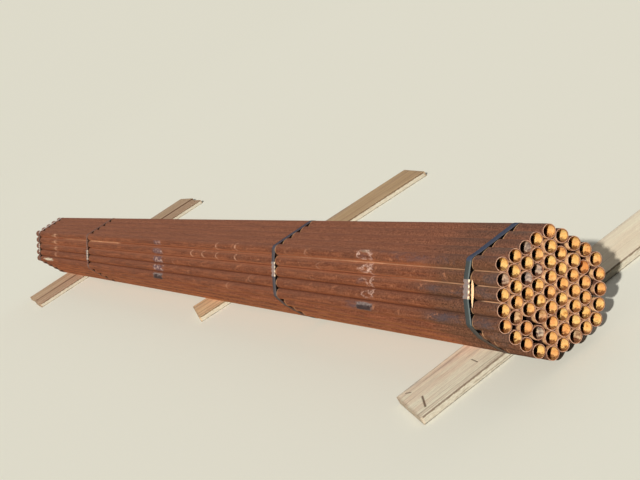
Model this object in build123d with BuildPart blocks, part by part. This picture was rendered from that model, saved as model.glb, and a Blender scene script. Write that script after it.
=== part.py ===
# Bundle of steel pipes, strapped into a hexagon and lying on three plank bearers.
# Millimetres. +X runs along the pipes towards the near end, +Y towards the rear, +Z up.
# The origin is on the ground, at the middle of the whole bundle's length and width.

import os
from math import atan2, cos, degrees, radians, sin, sqrt

from build123d import *

# Pipes
pipe_diameter = 42.2
pipe_wall = 3.56
pipe_length = 6706.0
pipe_gap = 0.3
pipes_per_side = 5
end_step = 14.0

# Straps: a station is the distance of a strap's middle from the bundle's near end
strap_width = 32.0
strap_thickness = 0.9
strap_clearance = 0.3
strap_stations = (176.0, 1789.0, pipe_length - 1621.0, pipe_length - 106.0)
strap_end_past_seal = 24.0

# Seals: a place is the distance down the upper front flank from its top corner pipe
seal_length = 57.0
seal_thickness = 1.0
seal_lip = 9.0
seal_bend = 0.6
seal_clearance = 0.3
seal_places = (75.0, 75.0, 106.0, 96.0)
notch_mouth = 10.0
notch_root = 5.0
notch_depth = 3.2
notch_pitch = 16.0
notches_per_side = 3

# Bearers: a plank's width, its station where it crosses the bundle's middle plane, how far
# its front end stands before that plane, how far it is turned, in degrees, and how much
# further its slanting front end reaches on the side of the near end
bearer_thickness = 25.0
bearer_length = 1290.0
bearer_edge_radius = 2.0
bearer_seat_gap = 0.3
bearers = {
    "bearer_near": (260.0, 417.0, 403.0, 3.0, 66.0),
    "bearer_mid": (286.0, pipe_length / 2 - 243.0, 203.0, -6.0, 34.0),
    "bearer_far": (286.0, pipe_length - 324.0, 408.0, 0.8, 14.0),
    "bearer_far_2": (235.0, pipe_length - 596.0, 432.0, -0.4, 12.0),
}

# How far each loose pipe stands out of the pack at the near end, by flank and by layer
# inwards, counted from the widest row towards the top or bottom row
loose_pipes = {
    ("lower", "front", 0): (13.0, 14.5, 14.0),
    ("lower", "front", 1): (11.5, 5.0),
    ("lower", "rear", 0): (14.0, 16.0, 4.0),
    ("upper", "rear", 0): (8.0, 6.0, 7.5),
}

# Places that follow from the sizes above
pipe_radius = pipe_diameter / 2
bore_radius = pipe_radius - pipe_wall
pitch = pipe_diameter + pipe_gap
row_rise = pitch * sqrt(3) / 2
row_total = 2 * pipes_per_side - 1
widest_row = pipes_per_side - 1
near_end = pipe_length / 2
pack_bottom = bearer_thickness + bearer_seat_gap
golden_step = (sqrt(5) - 1) / 2


def bearer_outline(name):
    """A plank's corners in its own frame: X across it, Y along it from the middle plane."""
    width, _, overhang, _, slant = bearers[name]
    front = [(-width / 2, slant / 2 - overhang), (width / 2, -slant / 2 - overhang)]
    return front + [(width / 2, bearer_length - overhang), (-width / 2, bearer_length - overhang)]


def bearer_reaches(name):
    """How far behind the middle plane each corner of a plank is."""
    turn = radians(bearers[name][3])
    return [x * sin(turn) + y * cos(turn) for x, y in bearer_outline(name)]


reaches = [reach for name in bearers for reach in bearer_reaches(name)]
pack_y = -(min(reaches) + max(reaches)) / 2


def pipes_in_row(row):
    return row_total - abs(row - widest_row)


def looseness(row, place):
    """How far a pipe stands out of the pack at the near end, as a vector in Y and Z."""
    last = pipes_in_row(row) - 1
    rear = place > last / 2
    upper = row > widest_row
    key = ("upper" if upper else "lower", "rear" if rear else "front", last - place if rear else place)
    amounts = loose_pipes.get(key, ())
    step = abs(row - widest_row) - 1
    amount = amounts[step] if 0 <= step < min(len(amounts), pipes_per_side - 2) else 0
    return (amount if rear else -amount) * sqrt(3) / 2, (amount if upper else -amount) / 2


def pipe_centre(row, place, station):
    """Y and Z of a pipe's axis, at a distance from the near end. Loose pipes lie askew."""
    out_y, out_z = looseness(row, place)
    share = 1 - station / pipe_length
    y = pack_y + (place - (pipes_in_row(row) - 1) / 2) * pitch
    z = pack_bottom + pipe_radius + row * row_rise
    return y + out_y * share, z + out_z * share


def end_shift(row, place):
    """How far a pipe is shifted along X. Golden-ratio steps keep neighbours unlike."""
    number = place + sum(pipes_in_row(lower) for lower in range(row))
    return end_step * ((number + 1) * golden_step % 1 - 0.5)


def save(part, name):
    part.label = name
    export_step(part, f"parts/{name}.step")


os.makedirs("parts", exist_ok=True)

# Pipe rows: one node for each layer, and the tubes in it don't touch
for row in range(row_total):
    with BuildPart() as layer:
        for place in range(pipes_in_row(row)):
            shift = end_shift(row, place)
            far_point = Vector(shift - near_end, *pipe_centre(row, place, pipe_length))
            near_point = Vector(shift + near_end, *pipe_centre(row, place, 0))
            with BuildSketch(Plane(origin=far_point, z_dir=near_point - far_point)):
                Circle(pipe_radius)
                Circle(bore_radius, mode=Mode.SUBTRACT)
            extrude(amount=pipe_length)
    save(layer.part, f"pipe_row_{row + 1}")

# Frame of the upper front flank, where the seals are: X towards the far end, Y down the
# flank and Z outwards from the crests of its pipes
flank_normal = Vector(0, -sqrt(3) / 2, 0.5)
flank_top = Vector(0, *pipe_centre(row_total - 1, 0, pipe_length))
flank = Plane(flank_top + flank_normal * pipe_radius, x_dir=(-1, 0, 0), z_dir=flank_normal)

# What lies on a crest under a seal, from the pipe outwards: lips, inner end, band, top wall
lip_bottom = strap_clearance
inner_end_bottom = lip_bottom + seal_thickness + seal_clearance
band_bottom = inner_end_bottom + strap_thickness
seal_top = band_bottom + strap_thickness + seal_clearance + seal_thickness
seal_height = seal_top - lip_bottom
seal_width = strap_width + 2 * (seal_clearance + seal_thickness)


def flank_place(station, place, height):
    """A point over the upper front flank, in the bundle's frame."""
    return flank.from_local_coords(Vector(station - near_end, place, height))


def touched(centres):
    """The pipes that a tight strap bends round: the convex hull of their axes, in order."""

    def half(ordered):
        kept = []
        for point in ordered:
            while len(kept) > 1 and bend(kept[-2], kept[-1], point) < pipe_gap:
                kept.pop()
            kept.append(point)
        return kept[:-1]

    def bend(first, middle, last):
        side = (middle[0] - first[0], middle[1] - first[1])
        onward = (last[0] - middle[0], last[1] - middle[1])
        return side[0] * onward[1] - side[1] * onward[0]

    ordered = sorted(centres)
    return half(ordered) + half(ordered[::-1])


def outer_pipes(station):
    """Axes of the pipes on the outside of the pack, at a distance from the near end."""
    centres = []
    for row in range(row_total):
        last = pipes_in_row(row) - 1
        places = range(last + 1) if row in (0, row_total - 1) else (0, last)
        centres += [pipe_centre(row, place, station) for place in places]
    return centres


def notch_tool(seal_plane):
    """Flared notches along both edges of a seal, which crimp it on the strap."""
    flare = degrees(atan2(notch_depth, (notch_mouth - notch_root) / 2))
    with BuildPart() as tool:
        with BuildSketch(seal_plane):
            for side, turn in ((-1, -90), (1, 90)):
                with Locations(Location((side * (seal_width - notch_depth) / 2, 0), turn)):
                    with GridLocations(notch_pitch, 0, notches_per_side, 1):
                        Trapezoid(notch_mouth, notch_depth, flare)
        extrude(amount=2 * seal_height)
    return tool.part


# Straps and seals
for number, (station, place) in enumerate(zip(strap_stations, seal_places), start=1):
    seal_plane = Plane(flank_place(station, place, 0), x_dir=flank.x_dir, z_dir=flank.z_dir)
    section_plane = Plane(seal_plane.origin, x_dir=flank.x_dir, z_dir=-flank.y_dir)
    seal_ends = (place - seal_length / 2, place + seal_length / 2)
    lifted = [flank_place(station, end, band_bottom - strap_clearance - pipe_radius) for end in seal_ends]
    path = touched(outer_pipes(station) + [(point.Y, point.Z) for point in lifted])
    notches = notch_tool(seal_plane)

    with BuildPart() as strap:
        with BuildSketch(Plane.YZ.offset(near_end - station - strap_width / 2)):
            with BuildLine():
                Polyline(*path, close=True)
            pack = make_face(mode=Mode.PRIVATE)
            offset(pack, amount=pipe_radius + strap_clearance + strap_thickness)
            offset(pack, amount=pipe_radius + strap_clearance, mode=Mode.SUBTRACT)
        extrude(amount=strap_width)
        with BuildSketch(seal_plane.offset(inner_end_bottom)):
            with Locations((0, strap_end_past_seal / 2)):
                Rectangle(strap_width, seal_length + strap_end_past_seal)
        extrude(amount=strap_thickness)
        add(notches, mode=Mode.SUBTRACT)
    save(strap.part, f"strap_{number}")

    with BuildPart() as seal:
        with BuildSketch(section_plane):
            with Locations((0, (lip_bottom + seal_top) / 2)):
                bends = Rectangle(seal_width, seal_height).vertices()
                chamfer(bends, seal_bend)
                Rectangle(seal_width - 2 * seal_thickness, seal_height - 2 * seal_thickness, mode=Mode.SUBTRACT)
            with Locations((0, lip_bottom)):
                Rectangle(seal_width - 2 * seal_lip, 3 * seal_thickness, mode=Mode.SUBTRACT)
        extrude(amount=seal_length / 2, both=True)
        add(notches, mode=Mode.SUBTRACT)
    save(seal.part, f"seal_{number}")

# Plank bearers
for name, (width, station, overhang, turn, slant) in bearers.items():
    across = (cos(radians(turn)), sin(radians(turn)), 0)
    with BuildPart() as bearer:
        with BuildSketch(Plane((near_end - station, pack_y, 0), x_dir=across)):
            Polygon(*bearer_outline(name), align=None)
        extrude(amount=bearer_thickness)
        long_edges = bearer.edges().filter_by(lambda edge: edge.length > bearer_length - slant)
        fillet(long_edges, bearer_edge_radius)
    save(bearer.part, name)
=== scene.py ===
import math

import bpy
import numpy as np
from mathutils import Matrix, Vector


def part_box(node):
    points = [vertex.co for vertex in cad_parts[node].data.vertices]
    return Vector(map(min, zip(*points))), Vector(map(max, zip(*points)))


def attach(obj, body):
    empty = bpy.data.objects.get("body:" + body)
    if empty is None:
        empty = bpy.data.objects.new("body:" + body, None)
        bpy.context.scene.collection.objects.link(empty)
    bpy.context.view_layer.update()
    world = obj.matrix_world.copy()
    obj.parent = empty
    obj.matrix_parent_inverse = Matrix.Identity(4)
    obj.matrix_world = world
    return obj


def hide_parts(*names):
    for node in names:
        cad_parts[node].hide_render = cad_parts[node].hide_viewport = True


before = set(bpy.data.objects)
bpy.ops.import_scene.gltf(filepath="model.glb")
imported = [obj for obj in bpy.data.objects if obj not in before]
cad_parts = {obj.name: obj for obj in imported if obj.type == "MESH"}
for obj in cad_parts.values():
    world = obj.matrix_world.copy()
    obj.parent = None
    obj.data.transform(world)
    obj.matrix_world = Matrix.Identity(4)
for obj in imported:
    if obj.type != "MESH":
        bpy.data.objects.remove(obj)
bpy.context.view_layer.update()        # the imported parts, in metres: +X to the near end, +Y to the rear, +Z up
random = np.random.default_rng(61)

# Camera and light

camera = {
    "place": (6.8343, -1.9688, 1.4816),
    "looksAt": (3.3041, -0.8162, 0.6759),
    "roll": 30.42,
    "lens": 81.22,
    "sensor": 36.0,
    "sees": (0.05, 200),
}
light = {
    "sunFrom": (1.84, -1.26, 1.0),
    "sunPower": 4.6,
    "sunAngle": 1.5,
    "fillFrom": (-1.3, 1.9, 0.9),
    "fillPower": 0.6,
    "fillAngle": 80.0,
    "skyColour": (0.93, 0.96, 1.0),
    "skyPower": 0.15,
    "floorBounce": (0.42, 0.40, 0.34),
    "floorSeen": (0.90, 0.865, 0.72),
    "floorFades": (9.0, 16.0),
    "floorReach": 60.0,
    "floorBelow": 0.0005,
}


def put(name, data):
    # a new object in the scene
    made = bpy.data.objects.new(name, data)
    bpy.context.scene.collection.objects.link(made)
    return made


def placeCamera():
    # the view axis runs from the place to the point looked at, and the roll turns the picture about it
    forward = (Vector(camera["looksAt"]) - Vector(camera["place"])).normalized()
    level = forward.cross(Vector((0, 0, 1))).normalized()
    roll = math.radians(camera["roll"])
    up = level.cross(forward) * math.cos(roll) + level * math.sin(roll)
    turned = Matrix((forward.cross(up), up, -forward)).transposed()
    data = bpy.data.cameras.new("photoCamera")
    data.lens, data.sensor_width = camera["lens"], camera["sensor"]
    data.clip_start, data.clip_end = camera["sees"]
    made = put("photoCamera", data)
    made.matrix_world = Matrix.Translation(camera["place"]) @ turned.to_4x4()
    bpy.context.scene.camera = made


def placeSun(name):
    # "sun" is the hard light in front, and "fill" is a weak, wide one behind, for the shaded sides
    data = bpy.data.lights.new(name, "SUN")
    data.energy, data.angle = light[name + "Power"], math.radians(light[name + "Angle"])
    put(name, data).rotation_euler = Vector(light[name + "From"]).to_track_quat("Z", "Y").to_euler()


def onLevel(name):
    # what a level white floor sends back of a sun's light: power * height of the sun's direction / pi
    return light[name + "Power"] * light[name + "From"][2] / math.hypot(*light[name + "From"]) / math.pi


# Finishes: nodes written as expressions


class Wire:
    # a socket that carries a number: arithmetic on it adds Math nodes
    def __init__(self, finish, socket):
        self.finish, self.socket = finish, socket

    def math(self, operation, *others):
        values = dict(enumerate([self, *others]))
        return self.finish.node("Math", {"operation": operation}, values)

    def __add__(self, other):
        return self.math("ADD", other)

    def __sub__(self, other):
        return self.math("SUBTRACT", other)

    def __mul__(self, other):
        return self.math("MULTIPLY", other)

    def __truediv__(self, other):
        return self.math("DIVIDE", other)

    def __pow__(self, other):
        return self.math("POWER", other)

    def __rsub__(self, other):
        return self.finish.node("Math", {"operation": "SUBTRACT"}, {0: other, 1: self})

    def __rtruediv__(self, other):
        return self.finish.node("Math", {"operation": "DIVIDE"}, {0: other, 1: self})

    def __neg__(self):
        return 0 - self

    def __abs__(self):
        return self.math("ABSOLUTE")

    __radd__ = __add__
    __rmul__ = __mul__

    def larger(self, other):
        return self.math("MAXIMUM", other)

    def smaller(self, other):
        return self.math("MINIMUM", other)

    def rise(self, low, high):
        # 0 below low, 1 above high and an S curve between
        settings = {"interpolation_type": "SMOOTHSTEP"}
        return self.finish.node("MapRange", settings, {"Value": self, "From Min": low, "From Max": high})

    def fall(self, low, high):
        return 1 - self.rise(low, high)

    def near(self, middle, reach, soft):
        # 1 within reach of the middle, fading to 0 over the soft edge
        return abs(self - middle).fall(reach, reach + soft)


class Finish:
    # the nodes of a new material, or of another holder of nodes
    def __init__(self, name, kind="materials"):
        self.holder = getattr(bpy.data, kind).new(name)
        self.holder.use_nodes = True
        self.tree = self.holder.node_tree
        self.tree.nodes.clear()

    def node(self, kind, settings=None, inputs=None, output=0):
        made = self.tree.nodes.new("ShaderNode" + kind)
        for key, value in (settings or {}).items():
            setattr(made, key, value)
        for key, value in (inputs or {}).items():
            socket = made.inputs[key]
            if isinstance(value, Wire):
                self.tree.links.new(value.socket, socket)
            elif isinstance(value, tuple) and len(value) == 3 and socket.type == "RGBA":
                socket.default_value = (*value, 1)
            else:
                socket.default_value = value
        return Wire(self, made.outputs[output]) if made.outputs else None

    def mix(self, amount, first, second):
        settings = {"data_type": "RGBA", "clamp_factor": True}
        return self.node("Mix", settings, {0: amount, 6: first, 7: second}, 2)

    def over(self, colour, layers):
        # layers are an amount each and what it mixes in: a screen colour or another socket
        for amount, tint in layers:
            colour = self.mix(amount, colour, tint if isinstance(tint, Wire) else srgb(*tint))
        return colour

    def vector(self, operation, first, second):
        return self.node("VectorMath", {"operation": operation}, {0: first, 1: second})

    def parts(self, vector):
        split = self.node("SeparateXYZ", {}, {"Vector": vector}).socket.node
        return [Wire(self, output) for output in split.outputs]

    def joined(self, x, y, z):
        return self.node("CombineXYZ", {}, {"X": x, "Y": y, "Z": z})

    def noise(self, place, stretch, detail=3.0, rough=0.55, warp=0.0):
        # noise about one unit across in each direction of stretch, spread to run from about 0 to 1
        at = self.vector("MULTIPLY", place, stretch)
        inputs = {"Vector": at, "Scale": 1.0, "Detail": detail, "Roughness": rough, "Distortion": warp}
        return self.node("TexNoise", {}, inputs).rise(0.3, 0.7)

    def carried(self, name):
        return self.node("Attribute", {"attribute_name": name}, {}, "Fac")

    def surface(self, colour, roughness, bump, depth, specular, metallic=0.0):
        relief = self.node("Bump", {}, {"Height": bump, "Distance": depth, "Strength": 1.0})
        inputs = {"Base Color": colour, "Roughness": roughness, "Metallic": metallic, "Normal": relief}
        inputs["Specular IOR Level"] = specular
        shader = self.node("BsdfPrincipled", {}, inputs)
        self.node("OutputMaterial", {}, {"Surface": shader})
        return self.holder


def srgb(red, green, blue):
    # a screen colour, 0 to 255, as the linear numbers that a shader takes
    part = np.array([red, green, blue]) / 255
    return tuple(float(v) for v in np.where(part <= 0.04045, part / 12.92, ((part + 0.055) / 1.055) ** 2.4))


# Meshes from arrays

creaseAngle = math.radians(35)


def gridQuads(rows, columns, closed=False):
    # quads of a grid of points numbered row by row; closed joins its last row and column to its first
    row, column = np.meshgrid(np.arange(rows - 1 + closed), np.arange(columns - 1 + closed), indexing="ij")
    after, beside = (row + 1) % rows, (column + 1) % columns
    corners = [(row, column), (after, column), (after, beside), (row, beside)]
    return np.stack([r * columns + c for r, c in corners], -1).reshape(-1, 4)


def piece(name, points, quads, material, slot, replaced=(), values=None):
    # a smooth mesh that rides on the bundle; values are the numbers that it carries at its points
    mesh = bpy.data.meshes.new(name)
    mesh.from_pydata(points.reshape(-1, 3).tolist(), [], quads.tolist())
    mesh.polygons.foreach_set("use_smooth", np.ones(len(quads), bool))
    mesh.set_sharp_from_angle(angle=creaseAngle)
    for key, amounts in (values or {}).items():
        kept = mesh.attributes.new(key, "FLOAT", "POINT")
        kept.data.foreach_set("value", np.ascontiguousarray(amounts, np.float32).ravel())
    mesh.materials.append(material)
    mesh.update()
    made = put(name, mesh)
    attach(made, "root")
    if replaced:
        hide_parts(*replaced)
    print(f"{name}: {len(quads)} quads")
    return made


def plate(middle, thickness):
    # a sheet of even thickness: middle +- normal * thickness / 2, joined round the border
    rows, columns = middle.shape[:2]
    normal = unit(np.cross(np.gradient(middle, axis=0), np.gradient(middle, axis=1)))
    sides = [middle + normal * thickness / 2, middle - normal * thickness / 2]
    total = rows * columns
    number = np.arange(total).reshape(rows, columns)
    border = np.concatenate([number[0, :-1], number[:-1, -1], number[-1, :0:-1], number[:0:-1, 0]])
    beside = np.roll(border, -1)
    front = gridQuads(rows, columns)
    rim = np.stack([border, beside, beside + total, border + total], -1)
    points = np.concatenate([side.reshape(-1, 3) for side in sides])
    return points, np.concatenate([front, front[:, ::-1] + total, rim])


def unit(vectors):
    return vectors / np.linalg.norm(vectors, axis=-1, keepdims=True)


# The pack: where each pipe lies

pack = {
    "perSide": 5,
    "pipeRadius": 0.0211,
    "wall": 0.00356,
    "length": 6.706,
    "gap": 0.0003,
    "endStep": 0.014,
    "bottom": 0.0253,
    "loose": {
        ("lower", "front", 0): (0.013, 0.0145, 0.014),
        ("lower", "front", 1): (0.0115, 0.005),
        ("lower", "rear", 0): (0.014, 0.016, 0.004),
        ("upper", "rear", 0): (0.008, 0.006, 0.0075),
    },
}
sin60 = math.sqrt(3) / 2
pitch = 2 * pack["pipeRadius"] + pack["gap"]
rowRise = pitch * sin60
rowTotal = 2 * pack["perSide"] - 1
widestRow = pack["perSide"] - 1
nearEnd = pack["length"] / 2
goldenStep = (math.sqrt(5) - 1) / 2
lowBox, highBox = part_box("pipe_row_1")
packMiddle = (lowBox.y + highBox.y) / 2
packCentre = pack["bottom"] + pack["pipeRadius"] + widestRow * rowRise


def pipesInRow(row):
    return rowTotal - abs(row - widestRow)


def looseBy(row, place):
    # how far a pipe stands out of the pack at the near end, across the flank it is nearest to
    last = pipesInRow(row) - 1
    rear = place > last / 2
    upper = row > widestRow
    key = ("upper" if upper else "lower", "rear" if rear else "front", last - place if rear else place)
    amounts = pack["loose"].get(key, ())
    step = abs(row - widestRow) - 1
    amount = amounts[step] if 0 <= step < min(len(amounts), pack["perSide"] - 2) else 0
    return (amount if rear else -amount) * sin60, (amount if upper else -amount) / 2


def pipeCentre(row, place, station):
    # Y and Z of a pipe's axis at a distance from the near end
    outY, outZ = looseBy(row, place)
    share = 1 - station / pack["length"]
    y = packMiddle + (place - (pipesInRow(row) - 1) / 2) * pitch
    z = pack["bottom"] + pack["pipeRadius"] + row * rowRise
    return y + outY * share, z + outZ * share


def endShift(row, place):
    # steps of the golden ratio along X keep neighbours unlike
    number = place + sum(pipesInRow(lower) for lower in range(row))
    return pack["endStep"] * ((number + 1) * goldenStep % 1 - 0.5)


# Pipe steel: rust outside, yellow rust in the mouths. Stations are pitches from the near end, and places are
# pitches down the upper front flank from its top pipe

flankTop = pipeCentre(rowTotal - 1, 0, pack["length"])
frontCorner = pipeCentre(widestRow, 0, pack["length"])
marks = {
    # station, place, reach along, reach down, and strength last; rings have their line's width before it
    "rings": [(21.6, -0.08, 1.0, 0.30, 0.16, 1.0), (21.4, 1.0, 0.9, 0.26, 0.2, 0.6),
              (21.0, 0.85, 0.8, 0.36, 0.14, 0.45), (21.2, 3.0, 0.8, 0.26, 0.16, 0.45),
              (21.7, 2.1, 0.7, 0.3, 0.16, 0.4)],
    # pale strokes that slant across a pipe and turn back
    "strokes": [(142.6, 0.2, 3.0, 0.36, 0.35), (142.4, 1.2, 3.0, 0.36, 0.3), (142.4, 2.2, 3.0, 0.36, 0.3)],
    # grey-blue blocks with pale flecks
    "blocks": [(82.4, 0.1, 1.5, 0.3, 0.55), (82.4, 1.1, 1.9, 0.38, 0.8), (82.4, 2.05, 1.9, 0.4, 1.0),
               (82.4, 3.05, 2.1, 0.38, 1.0)],
    # grey ovals
    "smudges": [(10.5, 0.0, 5.5, 0.34, 0.75), (15.5, -0.5, 4.0, 0.3, 0.35), (22.4, 2.0, 1.0, 0.3, 0.8),
                (8.0, 2.0, 3.2, 0.32, 0.45), (7.5, 4.0, 3.5, 0.4, 0.5), (21.4, 0.0, 0.9, 0.2, 0.6),
                (5.0, 3.1, 2.0, 0.3, 0.3), (2.0, 4.0, 2.4, 0.4, 0.6), (23.6, 3.9, 2.4, 0.36, 0.8),
                (24.5, 4.2, 2.0, 0.3, 0.35)],
    # dark blocks with a pale upper side
    "patches": [(21.8, 3.96, 1.6, 0.32, 0.9), (82.6, 4.0, 2.0, 0.38, 0.9)],
    # pale ovals
    "pale": [(148.0, 3.95, 3.4, 0.22, 1.0), (21.3, -0.35, 0.8, 0.1, 0.25)],
    # thin pale arcs across a pipe: station, place and strength
    "arcs": [(68.7, 1.0, 0.8), (64.5, 1.0, 0.7), (59.6, 0.05, 0.6), (59.8, 1.05, 0.5), (53.4, 0.0, 0.7),
             (53.6, 1.05, 0.7), (34.3, 0.1, 0.3), (31.6, 1.2, 0.3), (56.6, 3.9, 0.35), (76.0, 2.2, 0.3),
             (49.5, 2.9, 0.3), (142.6, 0.2, 0.6), (142.8, 1.2, 0.5), (142.4, 2.2, 0.5), (142.6, 3.1, 0.4)],
    "upright": 20.15,
    "curlPitch": 5.3,
}
# how grey a bore is, by its row and place; below 0 it is more orange
greyBores = {(7, 0): 0.8, (8, 2): 0.9, (6, 2): 1.0, (6, 3): 0.9, (2, 1): 0.9, (0, 2): 0.6, (4, 1): 0.5,
             (3, 2): 0.4, (4, 7): -0.55}


def pipeSteel():
    steel = Finish("pipeSteel")
    place = steel.node("TexCoord", {}, {}, "Object")
    x, y, z = steel.parts(place)
    facing = steel.parts(steel.node("NewGeometry", {}, {}, "Normal"))
    carried = ("pipeTone", "cutFace", "bore", "greyBore", "endShift", "wallShare", "toSun")
    tone, cut, bore, grey, shift, wallShare, toSun = [steel.carried(name) for name in carried]
    along = nearEnd - x
    depth = nearEnd + shift - x
    station = along / pitch
    down = ((flankTop[0] - y) * 0.5 + (flankTop[1] - z) * sin60) / pitch
    out = (flankTop[0] - y) * sin60 - (flankTop[1] - z) * 0.5
    # places round the pack, below 0 on its top
    around = down.larger(0) - ((y - flankTop[0]) / pitch).larger(0)
    own = steel.vector("ADD", place, steel.joined(tone * 13, tone * 29, tone * 17))

    broad = steel.noise(own, (1.1, 9, 9), 4)
    streak = steel.noise(own, (1.6, 260, 260), 3, 0.6)
    wide = steel.noise(own, (5, 120, 120), 3, 0.6)
    mottle = steel.noise(own, (38, 90, 90), 4, 0.62)
    blotch = steel.noise(own, (7, 26, 26), 4, 0.6)
    grit = steel.noise(own, (170, 230, 230), 3, 0.65)
    sun = [part / math.hypot(*light["sunFrom"]) for part in light["sunFrom"]]
    sunward = facing[0] * sun[0] + facing[1] * sun[1] + facing[2] * sun[2]
    onFlank = out.rise(0.004, 0.010)
    crest = down - down.math("ROUND")
    groove = abs(crest)
    wobble = (mottle - 0.5) * 0.4

    # outside: brown rust, pinker on top, which is painted sky light on the upward faces, more orange below, and
    # darker near the mouths
    onTop = around.fall(-0.4, 0.1)
    # top: the upward faces, painted paler and pinker as sky light
    top = facing[2].rise(0.55, 0.98).larger(facing[2].rise(0.1, 0.5) * onTop)
    under = (-facing[2]).rise(-0.1, 0.55)
    mouthZone = (depth + broad * 0.1).fall(0.34, 0.60)
    greyer = blotch.rise(0.4, 0.75) * (depth + mottle * 0.06 - broad * 0.04).fall(0.07, 0.2)
    colour = steel.over(steel.mix(broad, srgb(115, 53, 31), srgb(140, 70, 39)), [
        (streak * 0.6, (84, 42, 28)),
        (mottle * 0.4, (158, 94, 60)),
        (wide.rise(0.5, 0.9) * 0.5, (178, 108, 70)),
        (wide.fall(0.1, 0.45) * 0.4, (80, 40, 28)),
        (blotch.rise(0.55, 0.95) * 0.45, (94, 58, 44)),
        (top * 0.75, steel.mix(streak * 0.7, srgb(142, 90, 68), srgb(96, 58, 48))),
        (under * 0.6, steel.mix(streak, srgb(178, 100, 46), srgb(132, 76, 38))),
        (mouthZone * 0.78, steel.mix(top, srgb(88, 65, 46), srgb(80, 62, 54))),
        (mouthZone * under * 0.8, (66, 47, 33)),
        (under * down.rise(4.6, 5.3) * (1 - mouthZone) * 0.25, (218, 142, 80)),
        (greyer * (0.65 - under * 0.4), (88, 78, 70)),
        (station.rise(153.5, 155.5) * 0.6, (120, 96, 84)),
    ])

    # painted light and shade in the grooves: pale above the third pipe, lifting their shade, and darker below
    # it, as painted shade; then a painted light that evens the sunlit and shaded sides
    reach = widestRow * rowRise
    yIn, zIn = abs(y - packMiddle), abs(z - packCentre)
    hexReach = zIn.larger(yIn * sin60 + zIn * 0.5)
    sunk = reach + pack["pipeRadius"] - hexReach
    outside = sunk.fall(0.013, 0.018)
    darker = down.rise(1.8, 2.2)
    grooveLightShadeColour = steel.mix(darker, srgb(190, 122, 84), srgb(88, 46, 30))
    grooveLightShadeColour = steel.mix(onTop, steel.mix(mouthZone, grooveLightShadeColour, srgb(128, 96, 72)), srgb(138, 92, 70))
    grooveLightShade = (sunk - darker * 0.007).rise(0.001, 0.010) * outside * (0.55 + darker * 0.1)
    colour = steel.mix(grooveLightShade, colour, grooveLightShadeColour)
    # painted light: a gain by the sun's direction paints faces turned from the sun lighter and sunlit faces
    # darker
    paintedSunGain = ((0.75 / (sunward.larger(0) * 1.3 + 0.2)) ** 0.8).larger(0.6).smaller(2.2)
    colour = steel.vector("MULTIPLY", colour, steel.joined(paintedSunGain, paintedSunGain, paintedSunGain))
    colour = steel.over(colour, [
        (grit * 0.34, (196, 132, 98)),
        ((1 - grit) * 0.34, (54, 28, 20)),
    ])

    # pale lines in the flank's first three grooves
    inGroove = (groove + station * 0.00025).rise(0.445, 0.48) * out.rise(-0.004, 0.002) * down.rise(0.1, 0.3)
    first = station.fall(20, 45) * 0.6 + station.fall(50, 80) * 0.2
    first = first + station.rise(100.5, 103.5) * (station.fall(134, 139) * 0.4 + station.fall(117, 120) * 0.3)
    second = down.near(1.5, 0.3, 0.1) * station.fall(9, 22) * 0.85
    third = down.near(2.5, 0.3, 0.1) * station.fall(2.2, 3.2)
    paleGrooveLines = inGroove * (down.fall(0.9, 1.1) * first + second + third) * (0.55 + blotch * 0.5)
    colour = steel.mix(paleGrooveLines.smaller(1), colour, srgb(255, 216, 172))

    # painted shade in the hollows along the near edge of each strap, drawn back under it where the sun reaches,
    # and pale lips of rubbed rust with painted sunlight
    strapShade, rubbedLitLips = 0, 0
    for number, middle in enumerate(strap["stations"]):
        course = strap["course"][number]
        edge = middle - strap["width"] / 2 - along
        for lower, upper in zip(course, course[1:]):
            part = ((around - lower[0]) / (upper[0] - lower[0])).larger(0).smaller(1)
            edge = edge + part * (upper[1] - lower[1])
        edge = edge + course[0][1]
        back, standOff = strap["drawnBack"][number], strap["standOff"][number]
        drawn = edge + sunk * (around.fall(-0.6, -0.1) * 0.6 + back) - standOff
        shadeUnderEdge = (drawn - 0.0008).fall(-0.001, 0.001) * (sunk + standOff).rise(0.0004, 0.0016)
        strapShade = strapShade + shadeUnderEdge * edge.rise(-0.03, -0.02)
        # pale lips: rubbed rust, with painted sunlight on them
        rubbedLitLips = rubbedLitLips + drawn.near(0.0026, 0.0012, 0.0018) * strap["lip"][number]
        if number == 0:
            # painted shadow on the flank beside the near strap's sprung end
            leafShadow = edge.near(0.009, 0.0085, 0.002) * down.near(2.1, 0.85, 0.12)
            strapShade = strapShade + leafShadow * out.rise(-0.006, 0.0)
    colour = steel.over(colour, [
        ((rubbedLitLips * outside * (0.3 + mottle * 0.7)).smaller(1), (240, 190, 134)),
        (strapShade.smaller(1), (10, 8, 8)),
    ])

    # marks on the flank
    def offsets(mark):
        return (station - mark[0]) / mark[2], (down - mark[1]) / mark[3]

    def oval(mark):
        lengthwise, across = offsets(mark)
        return (lengthwise * lengthwise + across * across) ** 0.5

    def ring(mark):
        return abs(oval(mark) + wobble * 1.5 + (blotch - 0.5) * 0.7 - 1).fall(0, 2.6 * mark[4]) * mark[5]

    def stroke(mark):
        lengthwise, across = offsets(mark)
        turned = lengthwise + abs(across + wobble) * 1.2 - 0.5 + wobble * 2 + (blotch - 0.5) * 0.8
        return abs(turned).fall(0.15, 0.55) * oval(mark).fall(0.9, 1.3) * mark[4]

    def block(mark):
        lengthwise, across = offsets(mark)
        return abs(lengthwise + wobble).fall(0.8, 1.1) * abs(across + wobble * 0.6).fall(0.75, 1.05) * mark[4]

    def smudge(mark):
        return (oval(mark) + wobble * 1.5).fall(0.3, 1.15) * mark[4]

    def lowerSide(mark):
        return block(mark) * (offsets(mark)[1] + wobble * 2).rise(-0.8, 0.1)

    def paleOval(mark):
        return (oval(mark) + wobble * 2.5).fall(0.7, 1.1) * mark[4]

    def arc(mark):
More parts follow.
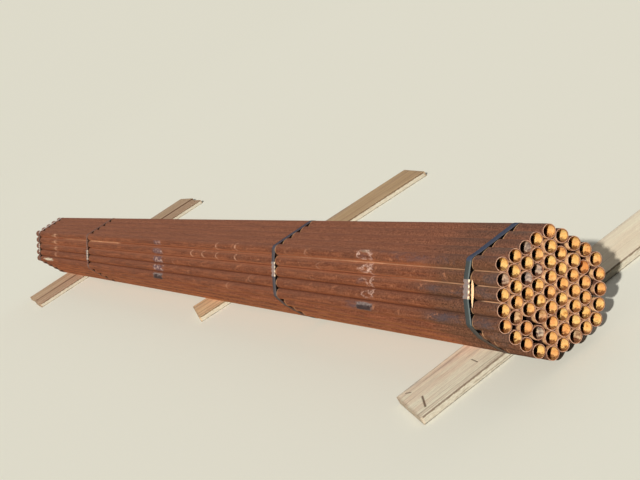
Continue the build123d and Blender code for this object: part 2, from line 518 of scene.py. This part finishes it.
        # a parabola across the pipe, wider far from the camera
        across = down - mark[1]
        bowed = abs(station - mark[0] + across * across * 4 + wobble * 0.6)
        return bowed.fall(0.0, 0.32 + max(mark[0] - 80, 0) * 0.014) * abs(across).fall(0.32, 0.46) * mark[2]

    def total(form, kind):
        return sum(form(mark) for mark in marks[kind])

    grimy = total(smudge, "smudges") * (0.35 + blotch * 0.65) + blotch.rise(0.6, 0.9) * mouthZone * 0.3
    blocks = total(block, "blocks") * onFlank
    curlAt = station / marks["curlPitch"] + down.math("ROUND") * 0.61 + broad * 0.5
    curlAt = (curlAt - curlAt.math("FLOOR") - 0.5) * marks["curlPitch"]
    curls = abs(curlAt + crest * crest * 5 - crest * 1.5 + wobble * 3).fall(0.05, 0.4) * mottle.rise(0.3, 0.8)
    curls = curls * blotch.rise(0.35, 0.75) * out.rise(-0.01, 0.004) * station.near(42, 34, 10)
    patchUpper = steel.mix(grit, srgb(172, 154, 144), srgb(96, 84, 82))
    patchColour = steel.mix(total(lowerSide, "patches"), patchUpper, srgb(36, 29, 32))
    upright = abs(station - marks["upright"] - wobble * 1.5).fall(0.05, 0.35) * down.near(1.5, 1.7, 0.3)
    rings = (total(ring, "rings") + upright * 0.6) * grit.rise(0.05, 0.6) * blotch.rise(0.0, 0.4)
    colour = steel.over(colour, [
        (grimy.smaller(1) * out.rise(0.004, 0.012) * 0.75, (78, 74, 80)),
        (total(stroke, "strokes").smaller(1) * onFlank * (0.45 + mottle * 0.4), (206, 164, 124)),
        (blocks * (0.45 + blotch * 0.4), (94, 80, 88)),
        (blocks * mottle.rise(0.5, 0.8) * 0.7, (206, 170, 150)),
        (total(arc, "arcs").smaller(1) * onFlank * (0.3 + mottle * 0.5), (240, 184, 148)),
        (curls * 0.35, (218, 146, 104)),
        (total(block, "patches") * onFlank, patchColour),
        (rings.smaller(1) * onFlank * 0.85, (236, 196, 174)),
        (total(paleOval, "pale").smaller(1) * onFlank * (0.4 + grit * 0.6), (222, 210, 180)),
    ])

    # between the mouths: pale dust painted as sunlit at the very ends, and painted shade further in
    inPack = hexReach.fall(reach - 0.006, reach)
    colour = steel.over(colour, [
        (inPack * depth.rise(0.014, 0.026), (60, 34, 26)),
        (inPack * depth.fall(0.010, 0.024) * 0.9, steel.mix(mottle, srgb(244, 196, 138), srgb(164, 110, 76))),
    ])

    # the bore: mottled yellow rust, brown dust along the bottom, and painted shade deep inside and where no sun
    # reaches
    ragged = (facing[2] + (mottle - 0.5) * 0.25 + (grit - 0.5) * 0.15).rise(0.80, 0.95)
    yellow = steel.over(steel.mix(mottle, srgb(255, 224, 144), srgb(255, 192, 104)), [
        (tone * 0.45, (255, 160, 88)),
        (blotch.rise(0.45, 0.8) * 0.35, (236, 142, 92)),
        (grit.rise(0.5, 0.95) * 0.3, (214, 140, 70)),
        (mottle.rise(0.84, 1.0) * 0.5, (150, 88, 46)),
        ((grey * (0.75 + mottle * 0.5)).smaller(1), steel.mix(mottle, srgb(214, 190, 170), srgb(88, 66, 58))),
        (-grey, (228, 128, 62)),
        (ragged * 0.85, steel.mix(grit, srgb(134, 80, 48), srgb(80, 40, 24))),
        ((depth - mottle * 0.003).fall(0.0005, 0.003) * 0.5, (150, 88, 52)),
    ])
    boreShade = (depth + mottle * 0.003).rise(0.040, 0.052).larger(sunward.fall(-0.12, 0.02))
    colour = steel.mix(bore, colour, steel.mix(boreShade, yellow, srgb(44, 20, 14)))

    # the cut: its inner half is painted dark as shade, more so away from the sun
    rim = steel.mix(mottle, srgb(214, 168, 138), srgb(156, 112, 90))
    rimShade = (wallShare + (grit - 0.5) * 0.2).fall(0.38, 0.58)
    rim = steel.mix(rimShade, rim, steel.mix(toSun.rise(-0.1, 0.4), srgb(122, 74, 44), srgb(36, 22, 18)))
    colour = steel.mix(cut.rise(0.1, 0.6) * 0.95, colour, rim)
    return steel.surface(colour, 0.84 + mottle * 0.14, grit * 0.5 + mottle * 0.5, 0.0003, 0.08)


tube = {
    "edge": 0.0006,
    "edgePoints": 4,
    "segments": 64,
    "sawLean": 0.006,
    # the short steps next to the cuts keep the long walls' light even
    "firstStep": 0.003,
}


def pipeRow(row, steel):
    # each tube is its wall's section turned about the tube's axis: axis(s) + r (cos a * side + sin a * up),
    # where (s, r) runs round a long thin rectangle with rounded corners and a goes once round the tube
    places = range(pipesInRow(row))
    near = np.array([(nearEnd + endShift(row, p), *pipeCentre(row, p, 0)) for p in places])
    far = np.array([(endShift(row, p) - nearEnd, *pipeCentre(row, p, pack["length"])) for p in places])
    along = unit(near - far)
    side = unit(np.cross(along, (0, 0, 1)))
    up = np.cross(side, along)

    worn, length, count = tube["edge"], pack["length"], tube["edgePoints"]
    outer, inner = pack["pipeRadius"], pack["pipeRadius"] - pack["wall"]
    turn = np.linspace(0, math.pi / 2, count)
    corners = [(length - worn, outer - worn, math.pi / 2 - turn), (length - worn, inner + worn, -turn),
               (worn, inner + worn, -math.pi / 2 - turn), (worn, outer - worn, math.pi - turn)]
    s = np.concatenate([middle + worn * np.cos(angle) for middle, _, angle in corners])
    r = np.concatenate([middle + worn * np.sin(angle) for _, middle, angle in corners])
    isBore = np.repeat([0.0, 1.0, 1.0, 0.0], count)
    isCut = np.concatenate([np.linspace(0, 1, count), np.linspace(1, 0, count)] * 2)
    ends, midway = np.array([tube["firstStep"], length - tube["firstStep"]]), [2 * count] * 2
    s, r = np.insert(s, midway, ends[::-1]), np.insert(r, midway, inner)
    s, r = np.append(s, ends), np.append(r, [outer, outer])
    isBore = np.append(np.insert(isBore, midway, 1), [0, 0])
    isCut = np.append(np.insert(isCut, midway, 0), [0, 0])

    # the saw's cut at the near end isn't quite square, and stays within the length
    angle = np.linspace(0, 2 * math.pi, tube["segments"], endpoint=False)
    lean = random.normal(0, tube["sawLean"], (len(places), 2))
    leaning = (lean[:, :1] * np.cos(angle) + lean[:, 1:] * np.sin(angle))[:, :, None] * r
    leaning = (leaning - np.hypot(*lean.T)[:, None, None] * outer) * (s > length / 2)
    middle = (far[:, None] + along[:, None] * s[:, None])[:, None]
    spoke = side[:, None] * np.cos(angle)[:, None] + up[:, None] * np.sin(angle)[:, None]
    points = middle + spoke[:, :, None] * r[:, None] + along[:, None, None] * leaning[..., None]
    size = points.shape[:3]
    one = gridQuads(*size[1:], True)[:, ::-1]
    quads = (one + np.arange(size[0])[:, None, None] * size[1] * size[2]).reshape(-1, 4)

    sunSide = np.array(light["sunFrom"]) * (0, 1, 1)
    values = {
        "pipeTone": random.random(len(places))[:, None, None],
        "endShift": np.array([endShift(row, p) for p in places])[:, None, None],
        "greyBore": np.array([greyBores.get((row, p), 0.0) for p in places])[:, None, None],
        "bore": isBore,
        "cutFace": isCut,
        "wallShare": (r - inner) / pack["wall"],
        "toSun": (spoke @ sunSide / np.linalg.norm(sunSide))[:, :, None],
    }
    values = {key: np.broadcast_to(amounts, size) for key, amounts in values.items()}
    name = f"pipe_row_{row + 1}"
    box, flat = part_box(name), points.reshape(-1, 3)
    off = max(np.abs(flat.min(0) - box[0]).max(), np.abs(flat.max(0) - box[1]).max())
    print(f"{name}: {len(places)} pipes, {off * 1000:.2f} mm from the part's box")
    return piece(f"pipes_{row + 1}", points, quads, steel, "pipe_steel", [name], values)


# Straps: flat steel band drawn tight round the outer pipes

strap = {
    "width": 0.032,
    "thickness": 0.0009,
    "clearance": 0.0003,
    "stations": (0.176, 1.789, 5.085, 6.600),
    # how far a strap strays towards the far end, at places round the pack: pitches along the top are
    # below 0, and pitches down the front flank above
    "course": (((-4, -0.005), (-0.4, -0.020), (1, -0.003), (2.6, 0.004), (4, -0.004), (8, 0)),
               ((0, 0), (2, 0.003), (4, 0)), ((0, 0), (2, -0.002), (4, 0)), ((0, 0), (2, 0.001), (4, 0))),
    "rust": (0.0, 0.1, 1.0, 0.75),
    # drawnBack and standOff shape the painted shade along each strap's near edge, and lip is the strength of its
    # pale lips
    "drawnBack": (0.75, 0.45, -0.1, -0.1),
    "standOff": (0.0032, 0.0, 0.003, 0.007),
    "darkened": (0.0, 0.65, 0.1, 0.0),
    "lip": (0.6, 0.75, 0.3, 0.2),
    "topTone": (0.0, 0.0, 0.0, 1.0),
    "tailPastSeal": 0.024,
    "tailDrop": 0.00005,
    "tailShare": 0.9,
    "tailPoints": (60, 5),
    "edgeRound": 0.0003,
    "edgePoints": 3,
    "arcPoints": 9,
    "step": 0.0025,
}
seal = {
    "length": 0.057,
    "thickness": 0.001,
    "lip": 0.009,
    "clearance": 0.0003,
    "places": (0.075, 0.075, 0.106, 0.096),
    "skew": (0.06, 0.0, 0.02, -0.02),
    # strength of the painted sheen on each seal's near edges
    "edgeSheen": (1.0, 0.5, 0.35, 0.45),
    "bend": 0.0011,
    "bendPoints": 5,
    "topPoints": 12,
    "rows": 121,
    "stiffHalf": 0.006,
    "pressed": 0.0009,
    "crowned": 0.0004,
    "crimpDepth": 0.0032,
    "crimpReach": 0.0042,
    "crimpPitch": 0.016,
    "crimps": 3,
}
downFlank = np.array([0, -0.5, -sin60])
outOfFlank = np.array([0, -sin60, 0.5])
flankOrigin = np.array([0, *flankTop]) + outOfFlank * pack["pipeRadius"]
lipBottom = strap["clearance"]
tailBottom = lipBottom + seal["thickness"] + seal["clearance"]
bandBottom = tailBottom + strap["thickness"]
sealTop = bandBottom + strap["thickness"] + seal["clearance"] + seal["thickness"]


def strapSteel():
    steel = Finish("strapSteel")
    place = steel.node("TexCoord", {}, {}, "Object")
    wear = steel.noise(place, (60, 60, 60), 4, 0.6)
    fine = steel.noise(place, (500, 500, 500), 3, 0.6)
    facing = steel.parts(steel.node("NewGeometry", {}, {}, "Normal"))[2]
    names = ("rust", "edge", "nearSide", "topTone", "darkened")
    rust, edge, nearSide, topTone, darkened = [steel.carried(n) for n in names]
    upward = facing.rise(0.55, 0.95)
    below = steel.mix(wear, srgb(124, 88, 60), srgb(88, 66, 48))
    rusted = steel.mix(wear, srgb(146, 88, 66), srgb(116, 78, 66))
    glint = nearSide.rise(0.72, 0.82) * facing.near(0.45, 0.25, 0.1)
    # the upward faces are painted blue, a painted sky reflection, over the dark green-grey sides; glint is a
    # painted highlight along the near edge
    colour = steel.over(steel.mix(upward, srgb(28, 48, 51), srgb(28, 66, 104)), [
        (upward * nearSide.rise(0.0, 0.5) * 0.7, (26, 36, 76)),
        (glint * 0.6, (128, 140, 136)),
        (wear * 0.18, (84, 84, 80)),
        (darkened, (50, 38, 58)),
        (facing.fall(-0.6, 0.0) * 0.9, below),
        ((rust * (0.75 + wear * 0.4)).smaller(1), rusted),
        (topTone * upward * 0.95, (250, 226, 214)),
        (edge * 0.3, (120, 116, 108)),
    ])
    return steel.surface(colour, 0.75 + wear * 0.2, fine, 0.0001, 0.01)


def touched(centres):
    # the pipes that a tight strap bends round: the convex hull of their axes, in order
    def half(ordered):
        kept = []
        for point in ordered:
            while len(kept) > 1 and bend(kept[-2], kept[-1], point) < pack["gap"] * pitch:
                kept.pop()
            kept.append(point)
        return kept[:-1]

    def bend(first, middle, last):
        a, b = np.subtract(middle, first), np.subtract(last, middle)
        return a[0] * b[1] - a[1] * b[0]

    ordered = sorted(centres)
    return np.array(half(ordered) + half(ordered[::-1]))


def strapPath(number):
    # an arc round each pipe that the strap touches, hull point + radius * (cos a, sin a), where a runs from
    # one straight run's normal to the next, then even steps along the whole way
    station, place = strap["stations"][number], seal["places"][number]
    centres = []
    for row in range(rowTotal):
        last = pipesInRow(row) - 1
        outside = range(last + 1) if row in (0, rowTotal - 1) else (0, last)
        centres += [pipeCentre(row, p, station) for p in outside]
    lift = bandBottom - strap["clearance"] - pack["pipeRadius"]
    for end in (place - seal["length"] / 2, place + seal["length"] / 2):
        centres.append(tuple((flankOrigin + downFlank * end + outOfFlank * lift)[1:]))
    hull = touched(centres)
    run = np.roll(hull, -1, axis=0) - hull
    leaving = np.arctan2(-run[:, 0], run[:, 1])
    arriving = np.roll(leaving, 1)
    swing = (leaving - arriving) % (2 * math.pi)
    angle = arriving[:, None] + swing[:, None] * np.linspace(0, 1, strap["arcPoints"])
    radius = pack["pipeRadius"] + strap["clearance"] + strap["thickness"] / 2
    normal = np.stack([np.cos(angle), np.sin(angle)], -1)
    points = (hull[:, None] + normal * radius).reshape(-1, 2)
    normal = normal.reshape(-1, 2)
    length = np.linalg.norm(np.roll(points, -1, axis=0) - points, axis=1)
    reach = np.concatenate([[0], np.cumsum(length)])
    even = np.linspace(0, reach[-1], int(reach[-1] / strap["step"]), endpoint=False)
    closed = [np.concatenate([part, part[:1]]) for part in (points, normal)]
    at, out = [np.stack([np.interp(even, reach, c[:, k]) for k in (0, 1)], -1) for c in closed]
    return at, unit(out)


def crimp(v):
    # 1 where the tool pinched the seal: the sum over the crimps of exp(-((v - spot) / reach)^4)
    spots = (np.arange(seal["crimps"]) - (seal["crimps"] - 1) / 2) * seal["crimpPitch"]
    return np.exp(-((v[..., None] - spots) / seal["crimpReach"]) ** 4).sum(-1)


def strapMiddle(number, around):
    # X of a strap's middle line at a place round the pack: straight runs between the points of its course
    places, strays = np.array(strap["course"][number]).T
    return nearEnd - strap["stations"][number] - np.interp(around, places, strays)


def sealPlace(number, v):
    # places round the pack from distances down the flank, counted from the seal's middle
    return (v + seal["places"][number]) / pitch


def strapBand(number, steel):
    # the points (w, h) of the strap's section, a thin rectangle with rounded edges, run along its path and
    # are pinched under the seal: x = middle + w (1 - narrow / half), and y, z = path + h * normal
    at, out = strapPath(number)
    half, thick, rounding = strap["width"] / 2, strap["thickness"] / 2, strap["edgeRound"]
    turn = np.linspace(0, math.pi / 2, strap["edgePoints"]) + np.arange(4)[:, None] * math.pi / 2
    corner = np.array([(1, 1), (-1, 1), (-1, -1), (1, -1)]).T[..., None]
    w = (corner[0] * (half - rounding) + rounding * np.cos(turn)).ravel()
    h = (corner[1] * (thick - rounding) + rounding * np.sin(turn)).ravel()
    flank = np.concatenate([np.zeros((len(at), 1)), at], 1) - flankOrigin
    v = flank @ downFlank - seal["places"][number]
    onFlank = np.abs(out @ outOfFlank[1:] - 1) < 0.02
    narrow = crimp(v) * onFlank * seal["crimpDepth"]
    around = np.maximum(sealPlace(number, v), 0) - np.maximum((at[:, 0] - flankTop[0]) / pitch, 0)
    x = strapMiddle(number, around)[:, None] + w * (1 - narrow[:, None] / half)
    place = at[:, None] + out[:, None] * h[:, None]
    points = np.concatenate([x[..., None], place], -1)
    quads = gridQuads(len(at), len(w), True)[:, ::-1]
    values = {key: np.full(x.shape, strap[key][number]) for key in ("rust", "topTone", "darkened")}
    values["edge"] = np.broadcast_to(np.abs(w) > half - rounding * 1.5, x.shape)
    values["nearSide"] = np.broadcast_to(np.clip(w / half, 0, 1), x.shape)
    replaced = [f"strap_{number + 1}"]
    return piece(f"strap_band_{number + 1}", points, quads, steel, "strap_steel", replaced, values)


def flankPoint(x, v, height):
    # x, and in Y and Z the flank's origin + v * down the flank + height * out of it
    x, v, height = np.broadcast_arrays(x, v, height)
    return np.stack([x, *[flankOrigin[k] + downFlank[k] * v + outOfFlank[k] * height for k in (1, 2)]], -1)


def strapTail(number, steel):
    # the strap's inner end, flat under the band and the seal: x = middle + (half - crimp) * share
    half = strap["width"] / 2
    rows, columns = strap["tailPoints"]
    v = np.linspace(-seal["length"] / 2, seal["length"] / 2 + strap["tailPastSeal"], rows)
    width = half - crimp(v) * seal["crimpDepth"]
    across = strapMiddle(number, sealPlace(number, v))[:, None] + width[:, None] * np.linspace(-1, 1, columns)
    height = tailBottom + strap["thickness"] / 2 - strap["tailDrop"]
    middle = flankPoint(across, (v + seal["places"][number])[:, None], height)
    points, quads = plate(middle, strap["thickness"] * strap["tailShare"])
    rust = np.full(len(points), strap["rust"][number])
    return piece(f"strap_tail_{number + 1}", points, quads, steel, "strap_steel", (), {"rust": rust})


# The near strap's inner end has sprung out on one side of its seal, and is bare and bright. The seal's lip is
# bent out beside it, with the crimps' waves in it. Their places count from the flank's top and the strap

leaves = {
    "strap_sprung_end": {"from": 0.046, "to": 0.128, "inner": 0.0325, "reach": 0.0145, "low": 0.0016,
                         "lift": 0.0046, "wave": 0.0022, "peak": 0.8},
    "seal_lip_flared": {"from": 0.0475, "to": 0.1035, "inner": 0.0145, "reach": 0.0030, "low": 0.0010,
                        "lift": 0.0006, "wave": 0.0026, "peak": 0.3},
}
leafThickness = 0.0009
leafPoints = (90, 14)
# short of 0 and 1, so that the strap's leaf keeps a real width at its two tips
leafEnds = (0.002, 0.998)


def brightSteel():
    steel = Finish("brightSteel")
    place = steel.node("TexCoord", {}, {}, "Object")
    wear = steel.noise(place, (90, 260, 260), 4, 0.6)
    low = (steel.parts(place)[2] - frontCorner[1]) / 0.06
    colour = steel.mix(wear * 0.5, srgb(255, 210, 156), srgb(226, 158, 112))
    colour = steel.mix(low.fall(0.6, 1.1) * 0.8, colour, srgb(200, 190, 178))
    return steel.surface(colour, 0.5 + wear * 0.2, wear, 0.0001, 0.4)


def leaf(name, steel, slot):
    # a runs along it and b across it, to its free edge, both from 0 to 1. Its edge reaches out by swell =
    # sin(pi a^peak)^0.7, less the crimps' waves, and its height is swell * sin(pi (0.08 + 0.84 b))^0.8
    about, isStrap = leaves[name], slot == "strap_steel"
    a, b = np.linspace(*leafEnds, leafPoints[0])[:, None], np.linspace(0, 1, leafPoints[1])
    swell = np.sin(math.pi * a ** about["peak"]) ** 0.7
    v = about["from"] + (about["to"] - about["from"]) * a
    waves = about["wave"] * crimp(v - seal["places"][0]) * (1 - b if isStrap else b)
    x = strapMiddle(0, v / pitch) + about["inner"] + about["reach"] * (swell if isStrap else 1) * b - waves
    height = about["low"] + about["lift"] * swell * np.sin(math.pi * (0.08 + 0.84 * b)) ** 0.8
    return piece(name, *plate(flankPoint(x, v, height), leafThickness), steel, slot)


# Seals: sheet steel folded round the strap and crimped


def sealSteel():
    steel = Finish("sealSteel")
    place = steel.node("TexCoord", {}, {}, "Object")
    wear = steel.noise(place, (110, 110, 110), 4, 0.65)
    fine = steel.noise(place, (600, 600, 600), 3, 0.6)
    edge = steel.carried("edge")
    colour = steel.mix(wear, srgb(122, 108, 102), srgb(166, 150, 144))
    colour = steel.over(colour, [
        (wear.rise(0.55, 0.9) * 0.6, (150, 98, 70)),
        # edge: a painted sheen along the seal's bends on its near side
        (edge, (255, 236, 196)),
    ])
    return steel.surface(colour, 0.45 + wear * 0.3, fine, 0.0001, 0.5, metallic=0.2)


def sealBox(number, steel):
    # a C section carried down the flank: lip, side, top, side, lip. The crimps draw in its sides and press
    # down its top by share * pinch, where share grows from the middle outwards as a square
    thick, bend = seal["thickness"], seal["bend"]
    half = strap["width"] / 2 + seal["clearance"] + thick / 2
    low, high = lipBottom + thick / 2, sealTop - thick / 2
    lip = half + thick / 2 - seal["lip"]
    turn = np.linspace(0, math.pi / 2, seal["bendPoints"])
    rightX = np.concatenate([[lip, (lip + half - bend) / 2], half - bend + bend * np.sin(turn),
                             half - bend + bend * np.cos(turn)])
    rightZ = np.concatenate([[low, low], low + bend - bend * np.cos(turn), high - bend + bend * np.sin(turn)])
    topX = np.linspace(half - bend, bend - half, seal["topPoints"])[1:-1]
    x = np.concatenate([rightX, topX, -rightX[::-1]])
    z = np.concatenate([rightZ, np.full(len(topX), high), rightZ[::-1]])
    v = np.linspace(-seal["length"] / 2, seal["length"] / 2, seal["rows"])
    pinch = crimp(v)[:, None]
    share = np.clip((np.abs(x) - seal["stiffHalf"]) / (half - seal["stiffHalf"]), 0, 1) ** 2
    across = x - np.sign(x) * pinch * seal["crimpDepth"] * share
    height = z - (z > (low + high) / 2) * share * pinch * seal["pressed"]
    height = height + (z > high - 1e-5) * (1 - pinch) * share * seal["crowned"]
    middleX = (strapMiddle(number, sealPlace(number, v)) - v * seal["skew"][number])[:, None]
    middle = flankPoint(middleX + across, (v + seal["places"][number])[:, None], height)
    points, quads = plate(middle, thick)
    edge = np.broadcast_to((share > 0.55) * (1 - pinch) * (x > 0), across.shape).ravel()
    values = {"edge": np.concatenate([edge, edge]) * seal["edgeSheen"][number]}
    replaced = [f"seal_{number + 1}"]
    return piece(f"seal_crimped_{number + 1}", points, quads, steel, "seal_steel", replaced, values)


# Plank bearers: each crosses the bundle's middle plane at a station, and its front end slants

bearers = {
    "bearer_near": {"width": 0.260, "station": 0.417, "overhang": 0.403, "turn": 3.0, "slant": 0.066},
    "bearer_mid": {"width": 0.286, "station": 3.110, "overhang": 0.203, "turn": -6.0, "slant": 0.034},
    "bearer_far": {"width": 0.286, "station": 6.382, "overhang": 0.408, "turn": 0.8, "slant": 0.014},
    "bearer_far_2": {"width": 0.235, "station": 6.110, "overhang": 0.432, "turn": -0.4, "slant": 0.012},
}
board = {"length": 1.290, "thickness": 0.025, "edge": 0.002, "points": (72, 130, 9)}
boardTones = {
    # a plank's colour, how strong its rings are, and its colour behind the bundle
    "bearer_near": ((244, 222, 192), 0.22, (255, 238, 204)),
    "bearer_mid": ((222, 188, 138), 0.5, (132, 102, 72)),
    "bearer_far": ((196, 168, 132), 0.6, (150, 122, 96)),
    "bearer_far_2": ((188, 156, 124), 0.6, (146, 116, 90)),
}
gashes = {
    # first and last point, across and along a plank from where its middle line crosses the bundle's middle
    # plane, and width
    "bearer_near": [(0.0, -0.345, 0.082, -0.385, 0.0035), (0.01, -0.150, 0.055, -0.158, 0.002),
                    (-0.105, -0.345, -0.085, -0.338, 0.003)],
    "bearer_mid": [(0.06, -0.20, 0.045, 0.4, 0.0016)],
    "bearer_far": [(0.141, -0.42, 0.141, 0.88, 0.009), (-0.05, -0.3, -0.03, 0.1, 0.002)],
    "bearer_far_2": [(-0.115, -0.44, -0.115, 0.86, 0.010), (0.04, -0.40, 0.02, 0.2, 0.003)],
}


def plankWood(name):
    wood = Finish(name + "Wood")
    across, along, up = [wood.carried(n) for n in ("across", "along", "up")]
    own = wood.joined(across, along, up)
    bendy = wood.noise(own, (6, 1.2, 6), 3, 0.5)
    bent = wood.joined(across + bendy * 0.03, along, up)
    grain = wood.noise(bent, (190, 3.0, 190), 4, 0.6)
    rings = wood.noise(bent, (60, 0.9, 60), 3, 0.55, 0.4)
    broad = wood.noise(own, (14, 4, 14), 4, 0.6)
    fine = wood.noise(own, (500, 60, 500), 3, 0.6)
    end, side = wood.carried("endGrain"), wood.carried("sideFace")
    tan, shade, tanBehind = boardTones[name]
    colour = wood.mix(broad, srgb(*tan), srgb(*[min(255, part + 26) for part in tan]))
    colour = wood.over(colour, [
        (rings.rise(0.45, 0.8) * shade, (186, 142, 110)),
        (grain.rise(0.5, 0.9) * (shade + 0.05), (164, 124, 96)),
        (fine * 0.3, (172, 144, 118)),
    ])
    grey = (across + broad * 0.06).fall(-0.13, -0.02) * wood.noise(own, (9, 5, 9), 3).rise(0.3, 0.7)
    colour = wood.over(colour, [
        (grey * 0.7, (178, 160, 148)),
        (along.rise(0.05, 0.25) * 0.5, tanBehind),
    ])
    # a side face is painted dark near its top, a painted shadow line, with pale dust below; sides and ends are
    # painted dark at the foot, a painted contact shade on the floor
    dustBelowShadeAbove = (up + fine * 0.002).fall(0.0185, 0.0215)
    colour = wood.over(colour, [
        (side * (1 - dustBelowShadeAbove) * 0.85, (92, 70, 52)),
        (side * dustBelowShadeAbove * 0.9, wood.mix(fine, srgb(206, 198, 176), srgb(178, 166, 142))),
        ((up + fine * 0.003).fall(0.002, 0.005) * (side + end) * 0.8, (90, 74, 58)),
        (end * 0.5, (158, 134, 106)),
    ])
    cracks = grain.rise(0.80, 0.95) * rings.rise(0.6, 0.8) * 0.5
    for fromX, fromY, toX, toY, width in gashes[name]:
        # distance to the line between two points, where the nearest share of it is kept within 0 and 1
        runX, runY = toX - fromX, toY - fromY
        share = ((across - fromX) * runX + (along - fromY) * runY) / (runX * runX + runY * runY)
        share = share.larger(0).smaller(1)
        offX, offY = across - fromX - share * runX, along - fromY - share * runY
        off = (offX * offX + offY * offY) ** 0.5 + (fine - 0.5) * width * 0.4
        cracks = cracks + off.fall(width * 0.4, width * 1.4)
    cracks = cracks.smaller(1)
    colour = wood.mix(cracks * 0.85, colour, srgb(92, 62, 40))
    return wood.surface(colour, 0.85, grain * 0.5 + fine * 0.3 - cracks * 1.5, 0.0008, 0.15)


def atBorder(shares):
    return np.abs(shares) > 1 - 1e-9


def boxSurface(counts):
    # the outside of a block of lattice points, each with its three shares from -1 to 1, and its quads
    shares = np.stack(np.meshgrid(*[np.linspace(-1, 1, n) for n in counts], indexing="ij"), -1)
    outside = atBorder(shares).any(-1)
    number = np.full(counts, -1)
    number[outside] = np.arange(outside.sum())
    quads = []
    for axis in range(3):
        for end in (0, -1):
            side = np.take(number, end, axis)
            side = side.T if axis == 1 else side
            faces = side.ravel()[gridQuads(*side.shape)]
            quads.append(faces if end else faces[:, ::-1])
    return shares[outside], np.concatenate(quads)


def plank(name):
    # a block with rounded edges: each point p is drawn in to a smaller block, q = clip(p), and pushed out to
    # q + edge (p - q) / |p - q|, then the block is sheared at its front end and turned on the ground
    about = bearers[name]
    turn = math.radians(about["turn"])
    shares, quads = boxSurface(board["points"])
    half = np.array([about["width"], board["length"], board["thickness"]]) / 2
    block = shares * half
    edge = board["edge"]
    inner = np.clip(block, edge - half, half - edge)
    away = block - inner
    length = np.linalg.norm(away, axis=1, keepdims=True)
    block = np.where(length > 0, inner + away / np.maximum(length, 1e-9) * edge, block)
    across = block[:, 0]
    along = block[:, 1] + half[1] - about["overhang"]
    along = along - about["slant"] * across / (2 * half[0]) * (1 - shares[:, 1]) / 2
    x = nearEnd - about["station"] + across * math.cos(turn) - along * math.sin(turn)
    y = packMiddle + across * math.sin(turn) + along * math.cos(turn)
    z = block[:, 2] + half[2]
    isSide, isEnd, _ = atBorder(shares).T
    values = {"across": across, "along": along, "up": z, "endGrain": isEnd, "sideFace": isSide & ~isEnd}
    newName, points = name.replace("bearer", "plank"), np.stack([x, y, z], -1)
    return piece(newName, points, quads, plankWood(name), "plank_wood", [name], values)


# Floor and backdrop


def paleFloor():
    # pale to the camera, darker to the light that it throws back, and as pale as the backdrop far away
    floor = Finish("paleFloor")
    rays = floor.node("LightPath", {}, {}, "Is Camera Ray")
    colour = floor.mix(rays, light["floorBounce"], light["floorSeen"])
    lit = floor.node("BsdfDiffuse", {}, {"Color": colour})
    glow = floor.node("Emission", {}, {"Color": backdrop, "Strength": 1.0})
    place = floor.node("TexCoord", {}, {}, "Object")
    away = floor.node("VectorMath", {"operation": "LENGTH"}, {0: place}, "Value")
    mixed = floor.node("MixShader", {}, {0: away.rise(*light["floorFades"]) * rays, 1: lit, 2: glow})
    floor.node("OutputMaterial", {}, {"Surface": mixed})
    mesh = bpy.data.meshes.new("floor")
    reach = light["floorReach"]
    square = ((-reach, -reach), (reach, -reach), (reach, reach), (-reach, reach))
    corners = [(x, y, -light["floorBelow"]) for x, y in square]
    mesh.from_pydata(corners, [], [(0, 1, 2, 3)])
    mesh.materials.append(floor.holder)
    made = put("floor", mesh)


def paleWorld():
    # the sky lights the bundle, and where the camera or a reflection sees it, it is as pale as the lit floor
    air = Finish("paleWorld", "worlds")
    kinds = ("Camera", "Transmission", "Glossy")
    direct, through, glossy = [air.node("LightPath", {}, {}, f"Is {kind} Ray") for kind in kinds]
    sky = air.node("Background", {}, {"Color": light["skyColour"], "Strength": light["skyPower"]})
    seen = air.node("Background", {}, {"Color": backdrop, "Strength": 1.0})
    mixed = air.node("MixShader", {}, {0: direct.larger(through).larger(glossy), 1: sky, 2: seen})
    air.node("OutputWorld", {}, {"Surface": mixed})
    bpy.context.scene.world = air.holder


# The lit floor's own level: its colour times the shares of the two suns and the sky
floorLevel = onLevel("sun") + onLevel("fill") + np.array(light["skyColour"]) * light["skyPower"]
backdrop = tuple(float(v) for v in np.array(light["floorSeen"]) * floorLevel)

bpy.context.scene.view_settings.view_transform = "Standard"
placeCamera()
placeSun("sun")
placeSun("fill")
paleWorld()
paleFloor()
print("camera, suns and floor placed")

steelOfPipes = pipeSteel()
for row in range(rowTotal):
    pipeRow(row, steelOfPipes)
steelOfStraps, steelOfSeals = strapSteel(), sealSteel()
for number in range(len(strap["stations"])):
    strapBand(number, steelOfStraps)
    strapTail(number, steelOfStraps)
    sealBox(number, steelOfSeals)
bright = brightSteel()
leaf("strap_sprung_end", bright, "strap_steel")
leaf("seal_lip_flared", bright, "seal_steel")
for name in bearers:
    plank(name)

bpy.context.view_layer.update()
